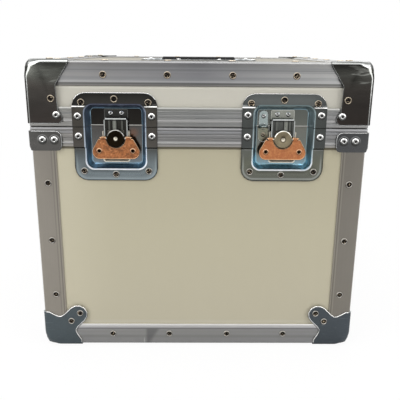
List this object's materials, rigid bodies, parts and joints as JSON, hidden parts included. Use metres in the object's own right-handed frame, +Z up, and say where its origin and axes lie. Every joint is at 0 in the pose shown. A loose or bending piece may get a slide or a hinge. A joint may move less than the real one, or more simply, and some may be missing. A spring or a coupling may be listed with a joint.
{
  "type": "flight case",
  "caption": "Square flight case with laminated panels, aluminium edging, pressed steel corners, recessed turn latches, a hinged lid and a recessed bail handle.",
  "frame": {"origin": "centre of the footprint, hinges included, at the level of the bottom corners' flat faces", "axes": "+X to the right, the front with the latches faces -Y, +Z up"},
  "size_m": [0.423, 0.4402, 0.384],
  "materials": {
    "laminate": "satin laminate",
    "aluminium": "brushed",
    "dull_steel": "satin",
    "bright_steel": "polished",
    "zinc": "bright zinc",
    "copper": "satin copper",
    "rubber": "matte"
  },
  "bodies": {
    "base": {"base_front_panel": "laminate", "base_back_panel": "laminate", "base_left_panel": "laminate", "base_right_panel": "laminate", "base_floor_panel": "laminate", "base_bottom_edging": "aluminium", "base_edge_front_left": "aluminium", "base_edge_front_right": "aluminium", "base_edge_back_left": "aluminium", "base_edge_back_right": "aluminium", "base_closure_rail": "aluminium", "base_closure_rail_middle": "aluminium", "bottom_corner_front_left": "dull_steel", "bottom_corner_front_right": "dull_steel", "bottom_corner_back_left": "dull_steel", "bottom_corner_back_right": "dull_steel", "closure_brace_front_left": "bright_steel", "closure_brace_front_right": "bright_steel", "closure_brace_back_left": "bright_steel", "closure_brace_back_right": "bright_steel", "left_dish_lower": "zinc", "left_latch_frame": "bright_steel", "left_hinge_base_leaf": "bright_steel", "left_hinge_pin": "zinc", "right_dish_lower": "zinc", "right_latch_frame": "bright_steel", "right_hinge_base_leaf": "bright_steel", "right_hinge_pin": "zinc", "padlock_lug_lower": "bright_steel"},
    "lid": {"lid_top_panel": "laminate", "lid_front_panel": "laminate", "lid_back_panel": "laminate", "lid_left_panel": "laminate", "lid_right_panel": "laminate", "lid_top_edging": "aluminium", "lid_closure_rail": "aluminium", "lid_closure_rail_middle": "aluminium", "lid_cap_front_left": "bright_steel", "lid_cap_front_right": "bright_steel", "lid_cap_back_left": "bright_steel", "lid_cap_back_right": "bright_steel", "left_dish_upper": "zinc", "left_keeper": "zinc", "left_hinge_lid_leaf": "bright_steel", "right_dish_upper": "zinc", "right_keeper": "zinc", "right_hinge_lid_leaf": "bright_steel", "handle_dish": "zinc", "padlock_lug_upper": "zinc"},
    "handle": {"handle_bail": "zinc", "handle_grip": "rubber"},
    "left_spindle": {"left_latch_spindle": "bright_steel"},
    "left_link": {"left_draw_link": "zinc"},
    "left_wing": {"left_wing": "copper", "left_wing_pin": "bright_steel"},
    "right_spindle": {"right_latch_spindle": "bright_steel"},
    "right_link": {"right_draw_link": "zinc"},
    "right_wing": {"right_wing": "copper", "right_wing_pin": "bright_steel"}
  },
  "joints": [
    {"name": "lid_hinge", "type": "hinge", "parent": "base", "child": "lid", "pos_m": [0, 0.21555, 0.302], "axis": [-1, 0, 0], "range_deg": [0, 95]},
    {"name": "handle_flip", "type": "hinge", "parent": "lid", "child": "handle", "pos_m": [0, 0.02145, 0.37], "axis": [-1, 0, 0], "range_deg": [0, 90], "stiffness_Nm_per_rad": 0.1, "springref_deg": -11.46},
    {"name": "left_latch_turn", "type": "hinge", "parent": "base", "child": "left_spindle", "pos_m": [-0.10423, -0.20425, 0.2874], "axis": [0, 1, 0], "range_deg": [0, 180]},
    {"name": "left_link_draw", "type": "slide", "parent": "base", "child": "left_link", "axis": [0, 0.5591, -0.8291], "range_m": [0, 0.0052]},
    {"name": "left_wing_fold", "type": "hinge", "parent": "left_spindle", "child": "left_wing", "pos_m": [-0.10423, -0.21605, 0.2874], "axis": [-1, 0, 0], "range_deg": [0, 90]},
    {"name": "right_latch_turn", "type": "hinge", "parent": "base", "child": "right_spindle", "pos_m": [0.10423, -0.20425, 0.2874], "axis": [0, 1, 0], "range_deg": [0, 180]},
    {"name": "right_link_draw", "type": "slide", "parent": "base", "child": "right_link", "axis": [0, 0.5591, -0.8291], "range_m": [0, 0.0052]},
    {"name": "right_wing_fold", "type": "hinge", "parent": "right_spindle", "child": "right_wing", "pos_m": [0.10423, -0.21605, 0.2874], "axis": [-1, 0, 0], "range_deg": [0, 90]}
  ],
  "couplings": [
    {"joint": "left_link_draw", "follows": "left_latch_turn", "m_per_rad": 0.0016509},
    {"joint": "right_link_draw", "follows": "right_latch_turn", "m_per_rad": 0.0016509}
  ]
}
